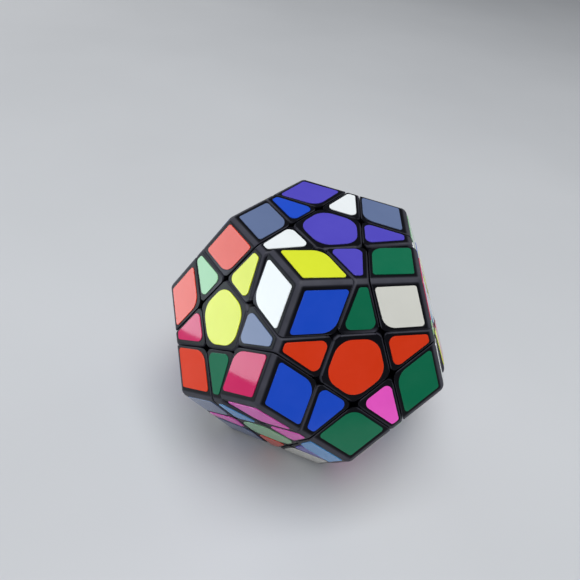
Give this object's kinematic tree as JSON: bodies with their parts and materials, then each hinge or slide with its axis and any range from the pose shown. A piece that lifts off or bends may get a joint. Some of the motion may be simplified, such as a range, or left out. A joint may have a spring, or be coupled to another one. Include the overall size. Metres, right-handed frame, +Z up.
{
  "type": "dodecahedron twisty puzzle",
  "caption": "Twelve-sided twisty puzzle with turning five-sided layers, coloured stickers on black pieces and a screwed core inside.",
  "frame": {"origin": "centre of the bottom face, on the outer surface of its stickers, where the puzzle rests", "axes": "+Z up through the core to the top face, -Y towards the front face, +X to the right seen from the front"},
  "size_m": [0.0806, 0.0847, 0.0702],
  "materials": {
    "black_plastic": "moulded black plastic with a soft gloss and worn rims",
    "core_plastic": "plain moulded light grey plastic",
    "steel": "zinc plated steel",
    "vinyl": "coloured vinyl film, twelve colours",
    "vinyl_white": "white vinyl film with a soft gloss",
    "vinyl_yellow": "yellow vinyl film with a soft gloss",
    "vinyl_purple": "purple vinyl film with a soft gloss",
    "vinyl_blue": "blue vinyl film with a soft gloss",
    "vinyl_dark_green": "dark green vinyl film with a soft gloss",
    "vinyl_grey": "grey vinyl film with a soft gloss",
    "vinyl_orange": "orange vinyl film with a soft gloss",
    "vinyl_crimson": "crimson vinyl film with a soft gloss",
    "vinyl_pink": "pink vinyl film with a soft gloss",
    "vinyl_light_green": "light green vinyl film with a soft gloss",
    "vinyl_cream": "cream vinyl film with a soft gloss",
    "vinyl_light_blue": "light blue vinyl film with a soft gloss"
  },
  "bodies": {
    "main": {"core": "core_plastic", "screws": "steel", "washers": "steel", "springs": "steel", "centres_other_faces": "black_plastic", "caps_other_faces": "black_plastic", "edge_top_right": "black_plastic", "edge_top_back_right": "black_plastic", "edge_top_left": "black_plastic", "edge_right_back": "black_plastic", "edges_under_right": "black_plastic", "edges_under_back_right": "black_plastic", "edges_under_left": "black_plastic", "edges_lower_ring": "black_plastic", "corner_top_right": "black_plastic", "corner_right": "black_plastic", "corner_lower_right": "black_plastic", "corner_lower_back_right": "black_plastic", "corner_lower_left": "black_plastic", "stickers_other_pieces": "vinyl"},
    "front_layer": {"centre_front": "black_plastic", "cap_front": "black_plastic", "edge_front_top": "black_plastic", "edge_front_right": "black_plastic", "edge_front_left": "black_plastic", "edge_front_lower_right": "black_plastic", "edge_front_lower_left": "black_plastic", "corner_front_top_left": "black_plastic", "corner_front_top_right": "black_plastic", "corner_front_right": "black_plastic", "corner_front_left": "black_plastic", "corner_front_lowest": "black_plastic", "stickers_front": "vinyl"},
    "back_left_layer": {"centre_back_left": "black_plastic", "cap_back_left": "black_plastic", "edge_back_left_top": "black_plastic", "edge_back_left_back": "black_plastic", "edge_back_left_left": "black_plastic", "edge_back_left_lower_back": "black_plastic", "edge_back_left_lower_left": "black_plastic", "corner_back_left_top_back": "black_plastic", "corner_back_left_top_left": "black_plastic", "corner_back_left_back": "black_plastic", "corner_back_left_left": "black_plastic", "corner_back_left_lowest": "black_plastic", "stickers_back_left": "vinyl"},
    "bottom_layer": {"centre_bottom": "black_plastic", "cap_bottom": "black_plastic", "edge_bottom_front_left": "black_plastic", "edge_bottom_front_right": "black_plastic", "edge_bottom_right": "black_plastic", "edge_bottom_back": "black_plastic", "edge_bottom_left": "black_plastic", "corner_bottom_front": "black_plastic", "corner_bottom_right": "black_plastic", "corner_bottom_back_right": "black_plastic", "corner_bottom_back_left": "black_plastic", "corner_bottom_left": "black_plastic", "stickers_bottom": "vinyl"}
  },
  "joints": [
    {"name": "front_turn", "type": "hinge", "parent": "main", "child": "front_layer", "pos_m": [0, 0, 0.03472], "axis": [0, -0.8944, 0.4472], "continuous": true},
    {"name": "back_left_turn", "type": "hinge", "parent": "main", "child": "back_left_layer", "pos_m": [0, 0, 0.03472], "axis": [-0.5257, 0.7236, 0.4472], "continuous": true},
    {"name": "bottom_turn", "type": "hinge", "parent": "main", "child": "bottom_layer", "pos_m": [0, 0, 0.03472], "axis": [0, 0, -1], "continuous": true}
  ]
}
